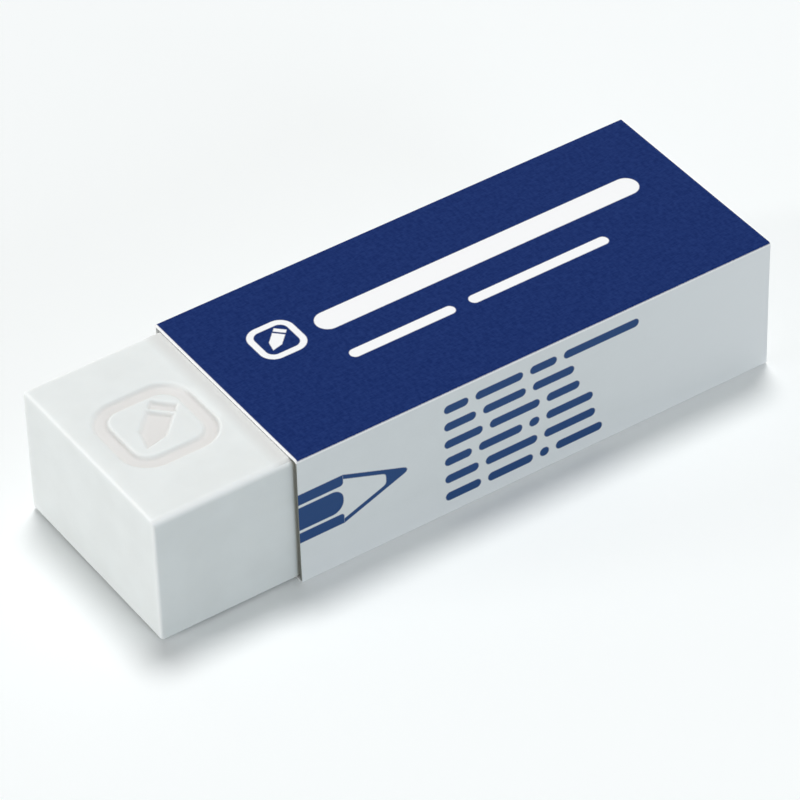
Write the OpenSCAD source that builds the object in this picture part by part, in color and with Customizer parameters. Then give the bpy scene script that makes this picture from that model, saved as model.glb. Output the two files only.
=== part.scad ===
// White vinyl eraser: a cut length of extruded bar in a folded card sleeve.
// Millimetres. X runs along the length with the bare end at -X, Y goes across, Z is up.
// The origin is on the surface the sleeve lies on, under the middle of the whole.

/* [Block] */
// Length of the vinyl block
block_len = 65; // [61:0.5:80]
// Width of the block
block_wid = 21.6; // [16:0.1:30]
// Thickness of the block
block_hgt = 13.6; // [9:0.1:20]
// Radius of the two upper long edges, left by the extruding die
long_edge_r = 0.7; // [0.3:0.1:2]
// Radius of the two lower long edges
foot_edge_r = 0.3; // [0.1:0.1:1]
// Radius of the edges round the two cut ends
end_edge_r = 0.3; // [0.1:0.05:0.8]

/* [Pressed mark] */
// Side of the square frame pressed into the top of the bare end
mark_size = 9.6; // [6.4:0.2:12]
// Width of the pressed line
mark_line = 1.3; // [0.6:0.05:1.6]
// Corner radius of the frame
mark_corner_r = 3; // [1.8:0.1:3]
// Depth of the mark
mark_depth = 0.35; // [0.15:0.05:0.8]
// Width of the pencil inside the frame
pencil_wid = 2.4; // [1:0.1:2.8]
// Length of the pencil's barrel
pencil_len = 2.8; // [2:0.1:3.4]
// Length of the pencil's point
point_len = 1.9; // [1:0.1:2.2]
// Length of the cap on the pencil's other end
cap_len = 0.9; // [0.5:0.1:1.4]
// Bare strip between the barrel and the cap
cap_gap = 0.45; // [0.3:0.05:0.8]
// Direction that the pencil points in, from +X
pencil_turn = -135; // [-180:15:180]

/* [Sleeve] */
// Length of the card sleeve
sleeve_len = 51; // [35:0.5:54]
// Thickness of the card
card = 0.25; // [0.2:0.05:0.6]
// Inside radius of a fold
fold_r = 0.05; // [0.05:0.05:0.3]
// Slack between the block and the near side panel
near_gap = 0.45; // [0.1:0.05:0.8]
// Slack between the block and the glue flap
far_gap = 0.05; // [0.02:0.01:0.4]
// Slack between the block and the top panel
top_gap = 0.05; // [0.02:0.01:0.4]
// Height of the glue flap behind the far side panel
flap_hgt = 13; // [4:0.5:13]
// Height of the far side panel's free edge over the underside
seam_lift = 0.5; // [0.3:0.1:1.5]

/* [Hidden] */
$fn = 64;

// Clearance that carries a cutter past the face it cuts
past = 1;

// Outside of the sleeve: it is centred on the Y axis and stands on z = 0
sleeve_wid = block_wid + near_gap + far_gap + 3 * card;
sleeve_hgt = block_hgt + top_gap + 2 * card;
near_face = -sleeve_wid / 2;
far_face = sleeve_wid / 2;
fold_out_r = fold_r + card;

// The block lies on the bottom panel, and its rear end is flush with the sleeve's
block_near = near_face + card + near_gap;
block_far = block_near + block_wid;
block_mid = (block_near + block_far) / 2;
block_foot = card;
block_top = block_foot + block_hgt;
front_x = -block_len / 2;
rear_x = block_len / 2;
sleeve_front_x = rear_x - sleeve_len;

// The mark is centred on the bare end
bare_len = block_len - sleeve_len;
mark_x = front_x + bare_len / 2;

// Rectangle between two corners, with its own corners rounded
module round_rect(low, high, r) {
    size = high - low;
    translate([low.x + r, low.y])
        square([size.x - 2 * r, size.y]);
    translate([low.x, low.y + r])
        square([size.x, size.y - 2 * r]);
    for (x = [low.x + r, high.x - r], y = [low.y + r, high.y - r])
        translate([x, y])
            circle(r);
}

// Stands a profile drawn in Y and Z along the X axis
module along_x(from, to) {
    translate([from, 0, 0])
        rotate([90, 0, 90])
            linear_extrude(to - from)
                children();
}

// Stands a profile drawn in X and Z across the Y axis
module along_y(from, to) {
    translate([0, to, 0])
        rotate([90, 0, 0])
            linear_extrude(to - from)
                children();
}

// Section of the bar, rounder along its top than along its foot
module bar_section() {
    intersection() {
        round_rect([block_near, block_foot - block_hgt], [block_far, block_top], long_edge_r);
        round_rect([block_near, block_foot], [block_far, block_top + block_hgt], foot_edge_r);
    }
}

// Bar cut to length, with its cut edges softened
module bar() {
    intersection() {
        along_x(front_x - past, rear_x + past)
            bar_section();
        along_y(block_near - past, block_far + past)
            round_rect([front_x, block_foot], [rear_x, block_top], end_edge_r);
        translate([0, 0, block_foot - past])
            linear_extrude(block_hgt + 2 * past)
                round_rect([front_x, block_near], [rear_x, block_far], end_edge_r);
    }
}

// Pencil seen from the side, pointing along +X and centred on its own length
module pencil() {
    whole = cap_len + cap_gap + pencil_len + point_len;
    barrel_x = cap_len + cap_gap - whole / 2;
    translate([-whole / 2, -pencil_wid / 2])
        square([cap_len, pencil_wid]);
    translate([barrel_x, 0])
        polygon([
            [0, -pencil_wid / 2],
            [pencil_len, -pencil_wid / 2],
            [pencil_len + point_len, 0],
            [pencil_len, pencil_wid / 2],
            [0, pencil_wid / 2]
        ]);
}

// Square frame with round corners and a pencil across its diagonal
module mark() {
    half = mark_size / 2;
    inner = half - mark_line;
    difference() {
        round_rect([-half, -half], [half, half], mark_corner_r);
        round_rect([-inner, -inner], [inner, inner], mark_corner_r - mark_line);
    }
    rotate(pencil_turn)
        pencil();
}

// Outline of the folded card: one wrap, with the far side panel lying over the glue flap
module card_outside() {
    round_rect([near_face, 0], [far_face - card, sleeve_hgt], fold_out_r);
    intersection() {
        round_rect([near_face, 0], [far_face, sleeve_hgt], fold_out_r);
        translate([near_face - past, seam_lift])
            square([sleeve_wid + 2 * past, sleeve_hgt]);
    }
}

// Space inside the folded card: narrower where the glue flap doubles the far side
module card_inside() {
    low = [near_face + card, card];
    high = [far_face - card, sleeve_hgt - card];
    round_rect(low, [high.x - card, high.y], fold_r);
    intersection() {
        round_rect(low, high, fold_r);
        translate([low.x - past, flap_hgt])
            square([sleeve_wid + 2 * past, sleeve_hgt]);
    }
}

module block() {
    color([0.92, 0.93, 0.93])
        difference() {
            bar();
            translate([mark_x, block_mid, block_top - mark_depth])
                linear_extrude(mark_depth + past)
                    mark();
        }
}

module sleeve() {
    color([0.13, 0.21, 0.44])
        along_x(sleeve_front_x, rear_x)
            difference() {
                card_outside();
                card_inside();
            }
}

block();
sleeve();
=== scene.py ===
import math

import bpy
import numpy as np
from mathutils import Euler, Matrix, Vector


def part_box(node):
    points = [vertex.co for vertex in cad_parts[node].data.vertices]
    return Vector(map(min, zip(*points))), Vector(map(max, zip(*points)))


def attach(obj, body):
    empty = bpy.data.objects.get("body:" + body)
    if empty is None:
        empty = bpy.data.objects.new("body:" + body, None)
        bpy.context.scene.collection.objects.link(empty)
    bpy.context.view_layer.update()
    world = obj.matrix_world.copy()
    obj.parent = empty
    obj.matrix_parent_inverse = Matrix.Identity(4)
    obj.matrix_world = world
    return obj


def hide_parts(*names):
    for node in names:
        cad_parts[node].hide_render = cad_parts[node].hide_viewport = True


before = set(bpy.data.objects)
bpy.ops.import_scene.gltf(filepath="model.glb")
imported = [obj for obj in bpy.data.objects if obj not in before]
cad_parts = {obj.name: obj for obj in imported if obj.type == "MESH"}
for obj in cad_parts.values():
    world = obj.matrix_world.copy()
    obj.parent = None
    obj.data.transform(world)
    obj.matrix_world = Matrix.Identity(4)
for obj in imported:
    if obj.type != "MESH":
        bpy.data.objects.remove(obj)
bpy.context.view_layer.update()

# White vinyl eraser in a folded card sleeve. Its bare end is at -X and its glued seam at +Y.
# Lengths in the settings are millimetres, and meshes are put in metres.
mm = 0.001
blockLow, blockHigh = (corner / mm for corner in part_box("block"))
sleeveLow, sleeveHigh = (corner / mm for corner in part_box("sleeve"))
print("frame loaded")


# Camera

camera = {
    "sensor": 36,
    "lens": 218.28,             # focal length on that sensor
    "azimuth": -33.183,         # degrees, from straight in front of the near side
    "elevation": 40.41,
    "roll": -1.735,
    "distance": 430.9,
    "aim": (-2.209, -2.963, 7.1),
    "nearest": 10,              # nothing closer than this is drawn
}


def makeCamera():
    data = bpy.data.cameras.new("camera")
    data.lens = camera["lens"]
    data.sensor_width = camera["sensor"]
    data.clip_start = camera["nearest"] * mm
    obj = bpy.data.objects.new("camera", data)
    bpy.context.scene.collection.objects.link(obj)
    turn = Euler((math.radians(90 - camera["elevation"]), 0, math.radians(camera["azimuth"]))).to_matrix()
    turn = turn @ Euler((0, 0, math.radians(camera["roll"]))).to_matrix()
    obj.matrix_world = turn.to_4x4()
    obj.location = (Vector(camera["aim"]) + turn.col[2] * camera["distance"]) * mm
    bpy.context.scene.camera = obj


makeCamera()
print("camera placed")


# Mesh helpers

def makeObject(name, points, faces, materials, faceSlots, sharpAngle=180):
    mesh = bpy.data.meshes.new(name)
    mesh.from_pydata([tuple(point * mm) for point in points], [], faces)
    for material in materials:
        mesh.materials.append(material)
    for polygon, slot in zip(mesh.polygons, faceSlots):
        polygon.material_index = slot
        polygon.use_smooth = True
    mesh.update()
    mesh.set_sharp_from_angle(angle=math.radians(sharpAngle))
    obj = bpy.data.objects.new(name, mesh)
    bpy.context.scene.collection.objects.link(obj)
    return obj


def evenly(low, high, step):
    # Places from low to high, no further apart than the step
    return list(np.linspace(low, high, max(2, math.ceil((high - low) / step) + 1)))


def fineBetween(low, high, fineLow, fineHigh, fineStep, coarseStep):
    # Places from low to high, close together over one stretch
    before = evenly(low, fineLow, coarseStep)
    fine = evenly(fineLow, fineHigh, fineStep)
    after = evenly(fineHigh, high, coarseStep)
    return before + fine[1:] + after[1:]


# Node helpers

def newMaterial(name):
    material = bpy.data.materials.new(name)
    material.use_nodes = True
    tree = material.node_tree
    tree.nodes.clear()
    output = tree.nodes.new("ShaderNodeOutputMaterial")
    shader = tree.nodes.new("ShaderNodeBsdfPrincipled")
    tree.links.new(shader.outputs[0], output.inputs["Surface"])
    return material, tree, shader


def feed(tree, socket, value):
    if isinstance(value, bpy.types.NodeSocket):
        tree.links.new(value, socket)
    else:
        socket.default_value = value


def calc(tree, operation, *values, clamp=False):
    node = tree.nodes.new("ShaderNodeMath")
    node.operation = operation
    node.use_clamp = clamp
    for socket, value in zip(node.inputs, values):
        feed(tree, socket, value)
    return node.outputs[0]


def smallest(tree, distances):
    result = distances[0]
    for distance in distances[1:]:
        result = calc(tree, "MINIMUM", result, distance)
    return result


def mixColour(tree, factor, a, b):
    node = tree.nodes.new("ShaderNodeMix")
    node.data_type = "RGBA"
    for label, value in (("Factor_Float", factor), ("A_Color", a), ("B_Color", b)):
        socket = next(s for s in node.inputs if s.identifier == label)
        feed(tree, socket, value)
    return next(s for s in node.outputs if s.identifier == "Result_Color")


def remap(tree, value, fromLow, fromHigh, toLow, toHigh):
    node = tree.nodes.new("ShaderNodeMapRange")
    feed(tree, node.inputs["Value"], value)
    node.inputs["From Min"].default_value = fromLow
    node.inputs["From Max"].default_value = fromHigh
    node.inputs["To Min"].default_value = toLow
    node.inputs["To Max"].default_value = toHigh
    return node.outputs["Result"]


def noise(tree, place, size, detail=2.0):
    # Noise whose features are about size across
    node = tree.nodes.new("ShaderNodeTexNoise")
    tree.links.new(place, node.inputs["Vector"])
    node.inputs["Scale"].default_value = 1 / size
    node.inputs["Detail"].default_value = detail
    return node.outputs["Fac"]


def spread(tree, value, reach, low=0.0, high=1.0):
    # Noise stays near a half, so what lies within reach of that is stretched from low to high
    return remap(tree, value, 0.5 - reach, 0.5 + reach, low, high)


def stretch(tree, place, scale):
    node = tree.nodes.new("ShaderNodeMapping")
    tree.links.new(place, node.inputs["Vector"])
    node.inputs["Scale"].default_value = scale
    return node.outputs[0]


def bump(tree, height, depth):
    node = tree.nodes.new("ShaderNodeBump")
    tree.links.new(height, node.inputs["Height"])
    node.inputs["Distance"].default_value = depth * mm
    return node.outputs["Normal"]


def surfacePoint(tree):
    # Place on the piece in millimetres, whole and as its three axes
    coords = tree.nodes.new("ShaderNodeTexCoord")
    scale = tree.nodes.new("ShaderNodeVectorMath")
    scale.operation = "SCALE"
    scale.inputs["Scale"].default_value = 1 / mm
    tree.links.new(coords.outputs["Object"], scale.inputs[0])
    split = tree.nodes.new("ShaderNodeSeparateXYZ")
    tree.links.new(scale.outputs[0], split.inputs[0])
    return scale.outputs[0], split.outputs


def newGroup(name, inputs, outputs):
    group = bpy.data.node_groups.new(name, "ShaderNodeTree")
    for label, kind in inputs:
        group.interface.new_socket(label, in_out="INPUT", socket_type=kind)
    for label, kind in outputs:
        group.interface.new_socket(label, in_out="OUTPUT", socket_type=kind)
    return group, group.nodes.new("NodeGroupInput").outputs, group.nodes.new("NodeGroupOutput").inputs


def useGroup(tree, group, values):
    node = tree.nodes.new("ShaderNodeGroup")
    node.node_tree = group
    for label, value in values.items():
        feed(tree, node.inputs[label], value)
    return node.outputs


# Shared effects. A shape is a signed distance in millimetres, below zero inside.

number = "NodeSocketFloat"
vector = "NodeSocketVector"

texture = {
    "wanderSize": 0.12,         # of the ragged steps in an ink rim
    "lengthwise": (0.35, 1.0, 1.0),     # how fibres along X are drawn out
    "lengthwiseSize": 0.16,
    "crosswise": (1.0, 0.45, 0.7),
    "crosswiseSize": 0.3,
    "cloudSize": 3.0,
    "cloudShare": 0.6,          # of the mottle, and the rest is fibres
    "mottleReach": 0.15,
}


def makeRoundBar():
    names = ["Along", "Across", "Middle Along", "Middle Across", "Half Length", "Half Height", "Corner"]
    group, given, out = newGroup("roundBar", [(name, number) for name in names], [("Distance", number)])
    over = []
    for axis, half in (("Along", "Half Length"), ("Across", "Half Height")):
        off = calc(group, "ABSOLUTE", calc(group, "SUBTRACT", given[axis], given["Middle " + axis]))
        over.append(calc(group, "SUBTRACT", off, calc(group, "SUBTRACT", given[half], given["Corner"])))
    squares = [calc(group, "POWER", calc(group, "MAXIMUM", side, 0.0), 2.0) for side in over]
    outside = calc(group, "SQRT", calc(group, "ADD", *squares))
    inside = calc(group, "MINIMUM", calc(group, "MAXIMUM", *over), 0.0)
    distance = calc(group, "SUBTRACT", calc(group, "ADD", outside, inside), given["Corner"])
    group.links.new(distance, out["Distance"])
    return group


def makeInkEdge():
    # Turns a shape into an ink mask with a slightly ragged rim, as print on card has
    inputs = [("Vector", vector), ("Distance", number), ("Ragged", number), ("Soft", number)]
    group, given, out = newGroup("inkEdge", inputs, [("Mask", number)])
    wander = calc(group, "SUBTRACT", noise(group, given["Vector"], texture["wanderSize"]), 0.5)
    moved = calc(group, "MULTIPLY_ADD", wander, given["Ragged"], given["Distance"])
    mask = calc(group, "SUBTRACT", 0.5, calc(group, "DIVIDE", moved, given["Soft"]), clamp=True)
    group.links.new(mask, out["Mask"])
    return group


def makeCardGrain():
    # Fibres pressed flat: a fine height, and a cloudy mottle between 0 and 1
    group, given, out = newGroup("cardGrain", [("Vector", vector)], [("Height", number), ("Mottle", number)])
    lengthwise = stretch(group, given["Vector"], texture["lengthwise"])
    lengthwise = noise(group, lengthwise, texture["lengthwiseSize"], detail=3.0)
    crosswise = stretch(group, given["Vector"], texture["crosswise"])
    crosswise = noise(group, crosswise, texture["crosswiseSize"])
    height = calc(group, "MULTIPLY", calc(group, "ADD", lengthwise, crosswise), 0.5)
    cloud = noise(group, given["Vector"], texture["cloudSize"], detail=4.0)
    blend = calc(group, "ADD", calc(group, "MULTIPLY", cloud, texture["cloudShare"]),
        calc(group, "MULTIPLY", height, 1 - texture["cloudShare"]))
    group.links.new(height, out["Height"])
    group.links.new(spread(group, blend, texture["mottleReach"]), out["Mottle"])
    return group


roundBar = makeRoundBar()
inkEdge = makeInkEdge()
cardGrain = makeCardGrain()
print("shared effects made")


# Mark: a square frame with a pencil across it, pressed into the vinyl and printed on the card

mark = {
    "size": 9.6,
    "line": 1.3,
    "corner": 3.0,
    "pencilWidth": 2.4,
    "cap": 0.9,
    "capGap": 0.45,
    "barrel": 2.8,
    "point": 1.9,
    "turn": math.radians(-135),
    "crisp": 0.05,              # corner radius of the pencil's parts
}


def markSizes():
    # Frame's middle line as half size and corner, then the pencil's tip, slope and start of the barrel
    half = (mark["size"] - mark["line"]) / 2
    tip = (mark["cap"] + mark["capGap"] + mark["barrel"] + mark["point"]) / 2
    slope = math.atan2(mark["pencilWidth"] / 2, mark["point"])
    return half, mark["corner"] - mark["line"] / 2, tip, slope, tip - mark["point"] - mark["barrel"]


def barDistance(along, across, halfLength, halfHeight, corner):
    overAlong = np.abs(along) - halfLength + corner
    overAcross = np.abs(across) - halfHeight + corner
    outside = np.hypot(np.maximum(overAlong, 0), np.maximum(overAcross, 0))
    return outside + np.minimum(np.maximum(overAlong, overAcross), 0) - corner


def markDistance(x, y):
    half, corner, tip, slope, barrelStart = markSizes()
    frameLine = np.abs(barDistance(x, y, half, half, corner)) - mark["line"] / 2
    along = x * math.cos(mark["turn"]) + y * math.sin(mark["turn"])
    across = np.abs(y * math.cos(mark["turn"]) - x * math.sin(mark["turn"]))
    wide = mark["pencilWidth"] / 2
    cap = barDistance(along + tip - mark["cap"] / 2, across, mark["cap"] / 2, wide, mark["crisp"])
    point = (along - tip) * math.sin(slope) + across * math.cos(slope)
    body = np.maximum(point, np.maximum(across - wide, barrelStart - along))
    return np.minimum(frameLine, np.minimum(cap, body))


def makePencilMark():
    inputs = [("Along", number), ("Across", number)]
    group, given, out = newGroup("pencilMark", inputs, [("Distance", number)])
    half, corner, tip, slope, barrelStart = markSizes()
    frameLine = useGroup(group, roundBar, {"Along": given["Along"], "Across": given["Across"],
        "Half Length": half, "Half Height": half, "Corner": corner})["Distance"]
    frameLine = calc(group, "SUBTRACT", calc(group, "ABSOLUTE", frameLine), mark["line"] / 2)
    cos, sin = math.cos(mark["turn"]), math.sin(mark["turn"])
    along, across = (
        calc(group, "MULTIPLY_ADD", given["Along"], a, calc(group, "MULTIPLY", given["Across"], b))
        for a, b in ((cos, sin), (-sin, cos)))
    across = calc(group, "ABSOLUTE", across)
    wide = mark["pencilWidth"] / 2
    cap = useGroup(group, roundBar, {"Along": along, "Across": across, "Middle Along": mark["cap"] / 2 - tip,
        "Half Length": mark["cap"] / 2, "Half Height": wide, "Corner": mark["crisp"]})["Distance"]
    lean = calc(group, "MULTIPLY", across, math.cos(slope))
    point = calc(group, "MULTIPLY_ADD", calc(group, "SUBTRACT", along, tip), math.sin(slope), lean)
    body = calc(group, "MAXIMUM", calc(group, "SUBTRACT", across, wide),
        calc(group, "SUBTRACT", barrelStart, along))
    body = calc(group, "MAXIMUM", point, body)
    group.links.new(smallest(group, [frameLine, cap, body]), out["Distance"])
    return group


pencilMark = makePencilMark()


# Vinyl block

block = {
    "longEdge": 0.7,            # radius along the top
    "footEdge": 0.3,            # radius along the foot
    "endEdge": 0.3,             # radius round the cut ends
    "sharpest": 0.02,           # least radius left at a corner
    "underGap": 0.005,          # keeps the underside off the card as the block slides
    "edgeSteps": 8,
    "endSteps": 6,
    "meshStep": 1.2,
    "markStep": 0.13,           # mesh spacing over the mark
    "markDepth": 0.35,
    "markSoft": 0.45,           # width of the slope at the mark's sides
    "capRing": 0.3,             # width of the flat ring inside an end's rounding
    "colour": (0.815, 0.845, 0.836, 1),
    "shade": (0.787, 0.815, 0.805, 1),  # in the clouds of a slightly darker tone
    "edgeHighlight": (0.93, 0.945, 0.94, 1),     # painted highlight: a lighter colour on the rounded edges
    "endHighlightShare": 0.5,             # share of that painted highlight round the cut ends
    "paintedRecessShade": (0.80, 0.79, 0.772, 1),   # inside the pressed mark, a darker tone that is painted shade
    "cloudSize": 4.0,
    "cloudReach": 0.15,
    "grainSize": 0.09,
    "grainReach": 0.2,
    "grainDepth": 0.006,
    "roughness": (0.44, 0.56),
    "gloss": 0.3,
    "scatter": 0.3,
    "scatterReach": 0.7,
    "scatterTint": (1.0, 0.95, 0.9),    # share of that reach in red, green and blue
    "openingShadow": (0.70, 0.705, 0.69, 1),      # painted shadow where the sleeve's opening stands over the vinyl
    "openingShadowReach": 1.8,
    "slitShade": (0.52, 0.52, 0.46, 1),    # painted shade: a dark line where the block enters the sleeve's near side
    "slitShadeInwards": 0.2,
    "slitShadeReach": 0.25,
    "bandPeak": 1.5,            # over 1, so that the middle of a painted shade band has one tone
    "bandRound": 0.4,
}


def markPlace():
    return (blockLow.x + sleeveLow.x) / 2, (blockLow.y + blockHigh.y) / 2


def roundedEdges(tree, axes):
    # 0 on the flat faces, rising to the middle of each rounded edge
    top, foot, end = block["longEdge"], block["footEdge"], block["endEdge"]
    over = {}
    for axis, low, high, lowR, highR in (("X", blockLow.x, blockHigh.x, end, end),
            ("Y", blockLow.y, blockHigh.y, top, top), ("Z", blockLow.z, blockHigh.z, foot, top)):
        below = calc(tree, "DIVIDE", calc(tree, "SUBTRACT", low + lowR, axes[axis]), lowR)
        above = calc(tree, "DIVIDE", calc(tree, "SUBTRACT", axes[axis], high - highR), highR)
        over[axis] = calc(tree, "MAXIMUM", below, above, clamp=True)
    along = calc(tree, "MINIMUM", over["Y"], over["Z"])
    ends = calc(tree, "MINIMUM", over["X"], calc(tree, "MAXIMUM", over["Y"], over["Z"]))
    return calc(tree, "MAXIMUM", along, calc(tree, "MULTIPLY", ends, block["endHighlightShare"]))


def pressedPart(tree, axes):
    # 1 on the bottom of the pressed mark, 0 outside it
    moved = [calc(tree, "SUBTRACT", axes[axis], middle) for axis, middle in zip("XY", markPlace())]
    figure = useGroup(tree, pencilMark, {"Along": moved[0], "Across": moved[1]})["Distance"]
    inside = calc(tree, "SUBTRACT", 0.5, calc(tree, "DIVIDE", figure, block["markSoft"]), clamp=True)
    upper = calc(tree, "GREATER_THAN", axes["Z"], (blockLow.z + blockHigh.z) / 2)
    return calc(tree, "MULTIPLY", inside, upper)


def nearOpening(tree, axes, inwards, reach):
    # 1 at the sleeve's opening, or that far inside it, and fading out over the reach on both sides
    off = calc(tree, "ABSOLUTE", calc(tree, "SUBTRACT", axes["X"], sleeveLow.x + inwards))
    fade = calc(tree, "SUBTRACT", 1.0, calc(tree, "DIVIDE", off, reach), clamp=True)
    return calc(tree, "SMOOTH_MIN", 1.0, calc(tree, "MULTIPLY", fade, block["bandPeak"]), block["bandRound"])


def makeVinyl():
    material, tree, shader = newMaterial("whiteVinyl")
    point, axes = surfacePoint(tree)
    cloud = spread(tree, noise(tree, point, block["cloudSize"], detail=4.0), block["cloudReach"])
    colour = mixColour(tree, cloud, block["shade"], block["colour"])
    # Painted shade: the bottom of the pressed mark is darker
    colour = mixColour(tree, pressedPart(tree, axes), colour, block["paintedRecessShade"])
    # Painted highlight: the rounded edges are made lighter
    colour = mixColour(tree, roundedEdges(tree, axes), colour, block["edgeHighlight"])
    # Painted shadow: a darker band across the top at the sleeve's opening
    onTop = calc(tree, "GREATER_THAN", axes["Z"], blockHigh.z - block["longEdge"] / 3)
    openingShadow = calc(tree, "MULTIPLY", onTop, nearOpening(tree, axes, 0.0, block["openingShadowReach"]))
    colour = mixColour(tree, openingShadow, colour, block["openingShadow"])
    # Painted shade: a dark line on the near side just inside the opening
    onSide = calc(tree, "LESS_THAN", axes["Y"], blockLow.y + block["longEdge"] / 2)
    slitShade = nearOpening(tree, axes, block["slitShadeInwards"], block["slitShadeReach"])
    slitShade = calc(tree, "MULTIPLY", onSide, slitShade)
    feed(tree, shader.inputs["Base Color"], mixColour(tree, slitShade, colour, block["slitShade"]))
    grain = noise(tree, point, block["grainSize"], detail=3.0)
    roughness = spread(tree, grain, block["grainReach"], *block["roughness"])
    feed(tree, shader.inputs["Roughness"], roughness)
    feed(tree, shader.inputs["Normal"], bump(tree, grain, block["grainDepth"]))
    shader.inputs["Subsurface Weight"].default_value = block["scatter"]
    shader.inputs["Subsurface Scale"].default_value = block["scatterReach"] * mm
    shader.inputs["Subsurface Radius"].default_value = block["scatterTint"]
    shader.inputs["Specular IOR Level"].default_value = block["gloss"]
    return material


def blockSection(sidePlaces, topPlaces, underPlaces, inset):
    # Points round the bar's section in Y and Z, drawn in all round, anticlockwise seen from +X
    top = max(block["longEdge"] - inset, block["sharpest"])
    foot = max(block["footEdge"] - inset, block["sharpest"])
    lowY, lowZ = blockLow.y + inset, blockLow.z + block["underGap"] + inset
    highY, highZ = blockHigh.y - inset, blockHigh.z - inset
    sides = np.clip(sidePlaces, lowZ + foot, highZ - top)
    tops = np.clip(topPlaces, lowY + top, highY - top)
    feet = np.clip(underPlaces, lowY + foot, highY - foot)
    runs = [
        ([(highY, z) for z in sides], (highY - top, highZ - top), top),
        ([(y, highZ) for y in reversed(tops)], (lowY + top, highZ - top), top),
        ([(lowY, z) for z in reversed(sides)], (lowY + foot, lowZ + foot), foot),
        ([(y, lowZ) for y in feet], (highY - foot, lowZ + foot), foot),
    ]
    points = []
    for quarter, (straight, centre, r) in enumerate(runs):
        points += straight
        for i in range(1, block["edgeSteps"]):
            angle = (quarter + i / block["edgeSteps"]) * math.pi / 2
            points.append((centre[0] + r * math.cos(angle), centre[1] + r * math.sin(angle)))
    return points


def blockStations(markMiddle, reach):
    # Places along X, each with how far the section is drawn in there
    r = block["endEdge"]
    rounding = [(0.0, r + block["capRing"])]
    for i in range(block["endSteps"] + 1):
        angle = math.pi / 2 * i / block["endSteps"]
        rounding.append((r * (1 - math.cos(angle)), r * (1 - math.sin(angle))))
    middle = fineBetween(blockLow.x + r, blockHigh.x - r, markMiddle - reach, markMiddle + reach,
        block["markStep"], block["meshStep"])
    front = [(blockLow.x + along, inset) for along, inset in rounding]
    rear = [(blockHigh.x - along, inset) for along, inset in reversed(rounding)]
    return front[:-1] + [(x, 0.0) for x in middle] + rear[1:]


def makeBlock():
    top, foot = block["longEdge"], block["footEdge"]
    reach = (mark["size"] + block["markSoft"]) / 2
    markX, markY = markPlace()
    topPlaces = fineBetween(blockLow.y + top, blockHigh.y - top, markY - reach, markY + reach,
        block["markStep"], block["meshStep"])
    underPlaces = evenly(blockLow.y + foot, blockHigh.y - foot, block["meshStep"])
    sidePlaces = evenly(blockLow.z + foot, blockHigh.z - top, block["meshStep"])
    stations = blockStations(markX, reach)
    points = np.array([(x, y, z) for x, inset in stations
        for y, z in blockSection(sidePlaces, topPlaces, underPlaces, inset)])
    count = len(points) // len(stations)
    onTop = np.isclose(points[:, 2], blockHigh.z)
    distance = markDistance(points[onTop, 0] - markX, points[onTop, 1] - markY)
    fall = np.clip(0.5 - distance / block["markSoft"], 0, 1)
    points[onTop, 2] -= block["markDepth"] * fall * fall * (3 - 2 * fall)       # a smooth step
    faces = []
    for i in range(len(stations) - 1):
        here, beyond = i * count, (i + 1) * count
        for j in range(count):
            after = (j + 1) % count
            faces.append((here + after, beyond + after, beyond + j, here + j))
    last = (len(stations) - 1) * count
    faces.append(tuple(range(count - 1, -1, -1)))
    faces.append(tuple(range(last, last + count)))
    obj = makeObject("vinylBlock", points, faces, [makeVinyl()], [0] * len(faces))
    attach(obj, "block")
    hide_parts("block")


makeBlock()
print("vinyl block made")


# Card sleeve

sleeve = {
    "card": 0.25,
    "foldRadius": 0.05,         # inside a fold
    "foldSteps": 8,
    "meshStep": 0.9,
    "flapHeight": 13.0,
    "seamLift": 0.5,
    "glueLine": 0.02,           # between the flap and the far side panel
    "nearBow": 0.07,            # how far the near side panel bows inwards
    "topBow": 0.03,
    "bowAtEnds": 0.55,          # share of the bow that is left at the sleeve's ends
    "inkBlue": (0.0012, 0.0172, 0.115, 1),
    "inkBlueLight": (0.0083, 0.0301, 0.150, 1),
    "sideInk": (0.022, 0.071, 0.212, 1),
    "coated": (0.832, 0.861, 0.862, 1),
    "coatedShade": (0.812, 0.839, 0.84, 1),
    "bareWhiteAndFoldHighlight": (0.96, 0.965, 0.97, 1),    # card without ink, in the print and past the blue at the folds; along the near foot fold it is a painted highlight
    "paintedLightCard": (0.90, 0.92, 0.925, 1),    # painted light: lighter card at the rear and low down
    "paintedLightLength": 24,
    "paintedLightHeight": 4,
    "insideCard": (0.93, 0.93, 0.92, 1),
    "insideShade": (0.86, 0.86, 0.85, 1),
    "cutEdge": (0.97, 0.97, 0.965, 1),
    "cutShade": (0.92, 0.92, 0.91, 1),
    "shadedCutEdge": (0.24, 0.24, 0.215, 1),   # the near panel's cut edge, painted dark grey as shade against the block
    "shadedCutOuter": (0.32, 0.32, 0.29, 1),
    "inkTurn": 0.12,            # how far down the folds the blue reaches
    "inkMargin": 0.12,          # bare strip along the front of the top
    "ragged": 0.05,             # how far an ink rim wanders
    "soft": 0.1,                # and over what width it fades
    "fleckReach": 0.12,
    "grainReach": 0.2,
    "grainDepth": 0.004,
    "insideDepth": 0.02,
    "cutDepth": 0.006,
    "roughness": (0.38, 0.5),
    "rawRoughness": 0.9,
    "inkGloss": 0.05,
    "coatGloss": 0.12,
    "rawGloss": 0.15,
}

topPrint = {
    "markMiddle": (-10.9, 3.25),
    "markSize": 4.7,
    "boldBar": (-7.0, 28.1, 2.85, 2.5),         # from x, to x, middle y, height
    "lightBars": [(-6.85, 4.3, -2.3, 1.15), (5.9, 21.07, -2.3, 1.15)],
}

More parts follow.
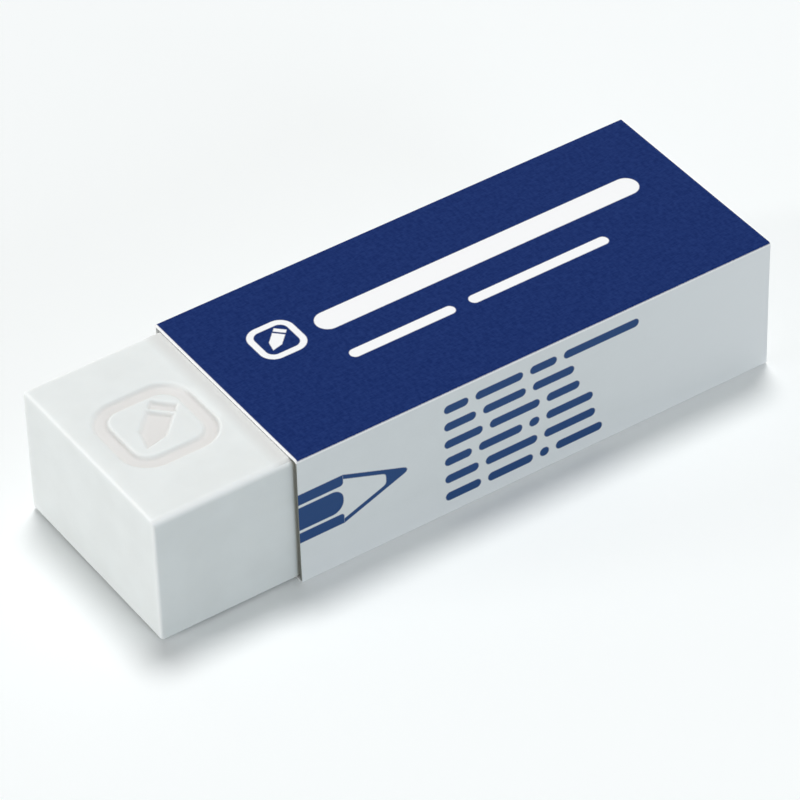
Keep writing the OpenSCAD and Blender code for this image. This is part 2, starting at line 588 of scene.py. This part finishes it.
sidePrint = {
    "rowStart": -3.2,
    "firstRow": 12.1,           # middle height of the highest row
    "rowStep": 2.01,
    "rowHeight": 0.95,
    "wordGap": 0.75,
    "rows": [(2.6, 5.1, 2.9, 8.2), (3.4, 4.6, 4.5), (4.1, 5.4, 3.6), (2.9, 4.7, 1.1, 5.1),
        (3.6, 5.6, 5.6), (3.8, 4.9, 1.0, 5.1)],
    "barrelEnd": -13.85,
    "barrelLow": 4.7,
    "barrelHigh": 10.25,
    "facetLow": 6.0,            # pale lines between the pencil's facets
    "facetHigh": 8.9,
    "facetLine": 0.3,
    "facetRound": 0.35,
    "middleRound": 1.2,
    "hidden": 2,                # length drawn past the opening, where the front corners don't show
    "tip": -6.55,
    "blunt": 0.6,               # length missing from the tip
    "tipRound": 0.5,
    "lead": -9.4,
    "leadRound": 1.8,
    "outline": 0.47,
    "overlap": 0.02,            # of the cone and the barrel
}


def placeBar(tree, along, across, low, high, middle, height, corner):
    return useGroup(tree, roundBar, {"Along": along, "Across": across, "Middle Along": (low + high) / 2,
        "Middle Across": middle, "Half Length": (high - low) / 2, "Half Height": height / 2,
        "Corner": corner})["Distance"]


def inkMask(tree, point, distance):
    return useGroup(tree, inkEdge, {"Vector": point, "Distance": distance, "Ragged": sleeve["ragged"],
        "Soft": sleeve["soft"]})["Mask"]


def coatedCard(tree, shader, point):
    # Coated face of the card, under ink or bare
    grain = useGroup(tree, cardGrain, {"Vector": point})
    feed(tree, shader.inputs["Normal"], bump(tree, grain["Height"], sleeve["grainDepth"]))
    roughness = spread(tree, grain["Height"], sleeve["grainReach"], *sleeve["roughness"])
    feed(tree, shader.inputs["Roughness"], roughness)
    return grain


def topShapes(tree, axes):
    along, across = axes["X"], axes["Y"]
    scale = mark["size"] / topPrint["markSize"]
    moved = [calc(tree, "MULTIPLY", calc(tree, "SUBTRACT", axis, middle), scale)
        for axis, middle in zip((along, across), topPrint["markMiddle"])]
    figure = useGroup(tree, pencilMark, {"Along": moved[0], "Across": moved[1]})["Distance"]
    shapes = [calc(tree, "DIVIDE", figure, scale)]
    for low, high, y, height in [topPrint["boldBar"], *topPrint["lightBars"]]:
        shapes.append(placeBar(tree, along, across, low, high, y, height, height / 2))
    return smallest(tree, shapes)


def makeBluePanel(name):
    # Blue to just past the folds and short of the front edge
    material, tree, shader = newMaterial(name)
    point, axes = surfacePoint(tree)
    grain = coatedCard(tree, shader, point)
    folds = calc(tree, "SUBTRACT", axes["Z"], sleeveHigh.z - sleeve["inkTurn"])
    margin = calc(tree, "SUBTRACT", axes["X"], sleeveLow.x + sleeve["inkMargin"])
    bare = smallest(tree, [folds, margin, topShapes(tree, axes)])
    fleck = spread(tree, grain["Height"], sleeve["fleckReach"])
    blue = mixColour(tree, fleck, sleeve["inkBlue"], sleeve["inkBlueLight"])
    colour = mixColour(tree, inkMask(tree, point, bare), blue, sleeve["bareWhiteAndFoldHighlight"])
    feed(tree, shader.inputs["Base Color"], colour)
    shader.inputs["Specular IOR Level"].default_value = sleeve["inkGloss"]
    return material


def pencilPicture(tree, axes):
    # Pencil's end coming out from under the opening: three facets, a drawn cone and a filled lead
    along, across = axes["X"], axes["Z"]
    low, high = sidePrint["barrelLow"], sidePrint["barrelHigh"]
    start, end = sleeveLow.x - sidePrint["hidden"], sidePrint["barrelEnd"]
    gap = sidePrint["facetLine"] / 2
    facets = [(low, sidePrint["facetLow"] - gap, sidePrint["facetRound"]),
        (sidePrint["facetLow"] + gap, sidePrint["facetHigh"] - gap, sidePrint["middleRound"]),
        (sidePrint["facetHigh"] + gap, high, sidePrint["facetRound"])]
    shapes = []
    for bottom, top, corner in facets:
        shapes.append(placeBar(tree, along, across, start, end, (bottom + top) / 2, top - bottom, corner))
    line = sidePrint["outline"]
    for z in (low + line / 2, high - line / 2):
        shapes.append(placeBar(tree, along, across, start, end, z, line, 0.0))
    slope = math.atan2((high - low) / 2, sidePrint["tip"] - end)
    offMiddle = calc(tree, "ABSOLUTE", calc(tree, "SUBTRACT", across, (low + high) / 2))
    lean = calc(tree, "MULTIPLY", offMiddle, math.cos(slope))
    cone = calc(tree, "MULTIPLY_ADD", calc(tree, "SUBTRACT", along, sidePrint["tip"]), math.sin(slope), lean)
    cut = calc(tree, "SUBTRACT", along, sidePrint["tip"] - sidePrint["blunt"])
    cone = calc(tree, "SMOOTH_MAX", cone, cut, sidePrint["tipRound"])
    wood = placeBar(tree, along, offMiddle, start, sidePrint["lead"], 0.0, high - low, sidePrint["leadRound"])
    wood = calc(tree, "SMOOTH_MAX", wood, calc(tree, "ADD", cone, line), sidePrint["tipRound"])
    filled = calc(tree, "MAXIMUM", cone, calc(tree, "MULTIPLY", wood, -1.0))
    shapes.append(calc(tree, "MAXIMUM", filled, calc(tree, "SUBTRACT", end - sidePrint["overlap"], along)))
    return shapes


def wordRows(tree, axes):
    # Rows of plain bars as long as words
    height = sidePrint["rowHeight"]
    shapes = []
    for i, words in enumerate(sidePrint["rows"]):
        start = sidePrint["rowStart"]
        for length in words:
            shapes.append(placeBar(tree, axes["X"], axes["Z"], start, start + length,
                sidePrint["firstRow"] - i * sidePrint["rowStep"], height, height / 2))
            start += length + sidePrint["wordGap"]
    return shapes


def makePalePanel(name, printed):
    material, tree, shader = newMaterial(name)
    point, axes = surfacePoint(tree)
    grain = coatedCard(tree, shader, point)
    colour = mixColour(tree, grain["Mottle"], sleeve["coatedShade"], sleeve["coated"])
    if printed:
        # Painted light: the panel lightens towards the rear and towards the foot
        rear = remap(tree, axes["X"], sleeveHigh.x - sleeve["paintedLightLength"], sleeveHigh.x, 0.0, 1.0)
        low = remap(tree, axes["Z"], sleeveLow.z + sleeve["paintedLightHeight"], sleeveLow.z, 0.0, 1.0)
        paintedLight = calc(tree, "MAXIMUM", rear, low)
        colour = mixColour(tree, paintedLight, colour, sleeve["paintedLightCard"])
        shapes = smallest(tree, pencilPicture(tree, axes) + wordRows(tree, axes))
        colour = mixColour(tree, inkMask(tree, point, shapes), colour, sleeve["sideInk"])
    else:
        # Painted highlight: the near foot fold is made bare white
        foldSize = sleeve["foldRadius"] + sleeve["card"]
        fold = calc(tree, "MAXIMUM", calc(tree, "SUBTRACT", axes["Y"], sleeveLow.y + foldSize),
            calc(tree, "SUBTRACT", axes["Z"], sleeveLow.z + foldSize))
        colour = mixColour(tree, inkMask(tree, point, fold), colour, sleeve["bareWhiteAndFoldHighlight"])
    feed(tree, shader.inputs["Base Color"], colour)
    shader.inputs["Specular IOR Level"].default_value = sleeve["coatGloss"]
    return material


def rawCard(tree, shader, point, depth):
    # Uncoated fibres
    grain = useGroup(tree, cardGrain, {"Vector": point})
    feed(tree, shader.inputs["Normal"], bump(tree, grain["Height"], depth))
    shader.inputs["Roughness"].default_value = sleeve["rawRoughness"]
    shader.inputs["Specular IOR Level"].default_value = sleeve["rawGloss"]
    return grain


def makeRawCard(name, shade, colour, depth):
    material, tree, shader = newMaterial(name)
    grain = rawCard(tree, shader, surfacePoint(tree)[0], depth)
    feed(tree, shader.inputs["Base Color"], mixColour(tree, grain["Height"], shade, colour))
    return material


def makeShadedCutEdge(name):
    # Cut edge of the near side panel, painted dark grey as shade, darkest towards the block
    material, tree, shader = newMaterial(name)
    point, axes = surfacePoint(tree)
    rawCard(tree, shader, point, sleeve["cutDepth"])
    inner, outer = sleeveLow.y + sleeve["card"], sleeveLow.y + sleeve["card"] / 3
    outwards = remap(tree, axes["Y"], inner, outer, 0.0, 1.0)
    colour = mixColour(tree, outwards, sleeve["shadedCutEdge"], sleeve["shadedCutOuter"])
    feed(tree, shader.inputs["Base Color"], colour)
    return material


flapPanel, underPanel, nearPanel, topPanel, farPanel = range(5)     # in the order they are folded


def foldedCard():
    # Middle line of the card from the flap's free edge round to the far panel's. Each row is a place,
    # its outward normal, its share of the panel and the panel. Each step between rows has a panel too.
    half = sleeve["card"] / 2
    bend = sleeve["foldRadius"] + half
    near = sleeveLow.y + half
    far = sleeveHigh.y - half
    flap = far - sleeve["card"] - sleeve["glueLine"]
    foot = sleeveLow.z + half
    top = sleeveHigh.z - half
    corners = [Vector(c) for c in ((flap, sleeve["flapHeight"]), (flap, foot), (near, foot), (near, top),
        (far, top), (far, sleeve["seamLift"]))]
    rows = []
    panels = []
    for k in range(len(corners) - 1):
        ahead = (corners[k + 1] - corners[k]).normalized()
        start = corners[k] + ahead * (bend if k > 0 else 0)
        end = corners[k + 1] - ahead * (bend if k < len(corners) - 2 else 0)
        outward = Vector((-ahead.y, ahead.x))
        steps = max(1, round((end - start).length / sleeve["meshStep"]))
        for i in range(steps + 1):
            rows.append((start.lerp(end, i / steps), outward, i / steps, k))
        panels += [k] * steps
        if k < len(corners) - 2:
            turned = (corners[k + 2] - corners[k + 1]).normalized()
            centre = end + turned * bend
            owner = k if k % 2 else k + 1       # a fold goes with the top or the underside
            for i in range(1, sleeve["foldSteps"]):
                angle = math.pi / 2 * i / sleeve["foldSteps"]
                normal = ahead * math.sin(angle) - turned * math.cos(angle)
                rows.append((centre + normal * bend, normal, 0.0, owner))
            panels += [owner] * sleeve["foldSteps"]
    return rows, panels


def bowed(share, panel, x):
    # How far a panel sinks inwards, most in its middle
    depth = {nearPanel: sleeve["nearBow"], topPanel: sleeve["topBow"]}.get(panel, 0.0)
    along = (x - sleeveLow.x) / (sleeveHigh.x - sleeveLow.x)
    atEnds = sleeve["bowAtEnds"]
    return depth * math.sin(math.pi * share) * (atEnds + (1 - atEnds) * math.sin(math.pi * along))


def makeSleeve():
    rows, panels = foldedCard()
    half = sleeve["card"] / 2
    stations = evenly(sleeveLow.x, sleeveHigh.x, sleeve["meshStep"])
    across = len(rows)
    count = len(stations)
    points = []
    for side in (half, -half):
        for x in stations:
            for middle, outward, share, panel in rows:
                spot = middle + outward * (side - bowed(share, panel, x))
                points.append((x, spot.x, spot.y))
    inner = across * count
    top, pale, printed, inside, cut, shadedCut = range(6)      # in the order of the materials below
    slotOf = {flapPanel: pale, underPanel: pale, nearPanel: printed, topPanel: top, farPanel: pale}
    faces = []
    slots = []
    for i in range(count - 1):
        for j in range(across - 1):
            a, b = i * across + j, i * across + j + 1
            c, d = b + across, a + across
            faces += [(a, d, c, b), (inner + a, inner + b, inner + c, inner + d)]
            slots += [slotOf[panels[j]], inside]
    for j in range(across - 1):
        for i, step in ((0, 1), (count - 1, -1)):
            a, b = i * across + j, i * across + j + 1
            faces.append((a, b, inner + b, inner + a)[::step])
            # the near panel's cut edge gets the painted shade
            slots.append(shadedCut if panels[j] == nearPanel else cut)
    for i in range(count - 1):
        for j, step in ((0, -1), (across - 1, 1)):
            a, b = i * across + j, (i + 1) * across + j
            faces.append((a, b, inner + b, inner + a)[::step])
            slots.append(cut)
    materials = [
        makeBluePanel("blueTop"),
        makePalePanel("paleSide", printed=False),
        makePalePanel("printedSide", printed=True),
        makeRawCard("insideCard", sleeve["insideShade"], sleeve["insideCard"], sleeve["insideDepth"]),
        makeRawCard("cutEdge", sleeve["cutShade"], sleeve["cutEdge"], sleeve["cutDepth"]),
        makeShadedCutEdge("shadedCutEdge"),
    ]
    obj = makeObject("cardSleeve", np.array(points), faces, materials, slots, sharpAngle=40)
    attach(obj, "sleeve")
    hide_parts("sleeve")


makeSleeve()
print("card sleeve made")


# Floor and light

studio = {
    "floorColour": (0.972, 0.995, 0.994, 1),
    "floorBounce": (0.52, 0.54, 0.54, 1),   # its colour in the light that it throws on the object
    "floorTrue": 2.0,           # how far out from the object the floor keeps its own colour
    "floorSize": 6000,
    "floorDrop": 0.005,         # keeps the floor off the underside
    "world": 0.345,
    "keyFrom": (0.18, 0.25, 1.0),
    "keyLight": 0.56,           # share of the light that makes the floor white
    "keyAngle": 18,
    "endFrom": (-1.0, 0.4, 0.06),
    "endLight": 0.665,
    "endAngle": 14,
    "frontPlace": (150, -1500, 240),    # middle of a square lamp
    "frontSize": 840,
    "frontLight": 0.34,
    "frontTint": (0.80, 0.90, 0.98),
}


def seenRays(tree):
    # 1 for rays that show the backdrop, straight or in gloss, and 0 for rays that only carry light
    rays = tree.nodes.new("ShaderNodeLightPath").outputs
    seen = calc(tree, "MAXIMUM", rays["Is Glossy Ray"], rays["Is Transmission Ray"])
    return calc(tree, "MAXIMUM", rays["Is Camera Ray"], seen)


def makeFloor():
    half = studio["floorSize"] / 2
    low = -studio["floorDrop"]
    corners = np.array([(-half, -half, low), (half, -half, low), (half, half, low), (-half, half, low)])
    material, tree, shader = newMaterial("paper")
    axes = surfacePoint(tree)[1]
    middle = (blockLow.x + sleeveHigh.x) / 2
    foot = useGroup(tree, roundBar, {"Along": axes["X"], "Across": axes["Y"], "Middle Along": middle,
        "Half Length": sleeveHigh.x - middle, "Half Height": sleeveHigh.y})["Distance"]
    under = remap(tree, foot, studio["floorTrue"], 0.0, 0.0, 1.0)
    shown = calc(tree, "MAXIMUM", seenRays(tree), under)
    colour = mixColour(tree, shown, studio["floorBounce"], studio["floorColour"])
    feed(tree, shader.inputs["Base Color"], colour)
    shader.inputs["Roughness"].default_value = 1.0
    shader.inputs["Specular IOR Level"].default_value = 0.0
    floor = makeObject("floor", corners, [(0, 1, 2, 3)], [material], [0])


def placeLight(name, data, fromWhere):
    obj = bpy.data.objects.new(name, data)
    bpy.context.scene.collection.objects.link(obj)
    obj.rotation_euler = Vector(fromWhere).to_track_quat("Z", "Y").to_euler()
    return obj


def makeSun(name, fromWhere, strength, angle):
    data = bpy.data.lights.new(name, "SUN")
    data.energy = strength * math.pi
    data.angle = math.radians(angle)
    placeLight(name, data, fromWhere)


def makePanelLight(name, where, size, strength, tint):
    # Square lamp that gives a surface at the origin that strength, as a sun does
    data = bpy.data.lights.new(name, "AREA")
    data.size = size * mm
    data.energy = strength * (Vector(where) * mm).length_squared * math.pi ** 2
    data.color = tint
    placeLight(name, data, where).location = Vector(where) * mm


def makeWorld():
    world = bpy.data.worlds.new("studio")
    bpy.context.scene.world = world
    world.use_nodes = True
    tree = world.node_tree
    tree.nodes.clear()
    output = tree.nodes.new("ShaderNodeOutputWorld")
    sky = tree.nodes.new("ShaderNodeBackground")
    backdrop = tree.nodes.new("ShaderNodeBackground")
    sky.inputs["Strength"].default_value = studio["world"]
    backdrop.inputs["Strength"].default_value = 1.0
    for node in (sky, backdrop):
        node.inputs["Color"].default_value = (1, 1, 1, 1)
    mix = tree.nodes.new("ShaderNodeMixShader")
    tree.links.new(seenRays(tree), mix.inputs["Fac"])
    tree.links.new(sky.outputs[0], mix.inputs[1])
    tree.links.new(backdrop.outputs[0], mix.inputs[2])
    tree.links.new(mix.outputs[0], output.inputs["Surface"])


makeFloor()
makeSun("key", studio["keyFrom"], studio["keyLight"], studio["keyAngle"])
makeSun("endLight", studio["endFrom"], studio["endLight"], studio["endAngle"])
makePanelLight("frontLight", studio["frontPlace"], studio["frontSize"], studio["frontLight"],
    studio["frontTint"])
makeWorld()
bpy.context.scene.view_settings.view_transform = "Standard"
print("floor and light made")
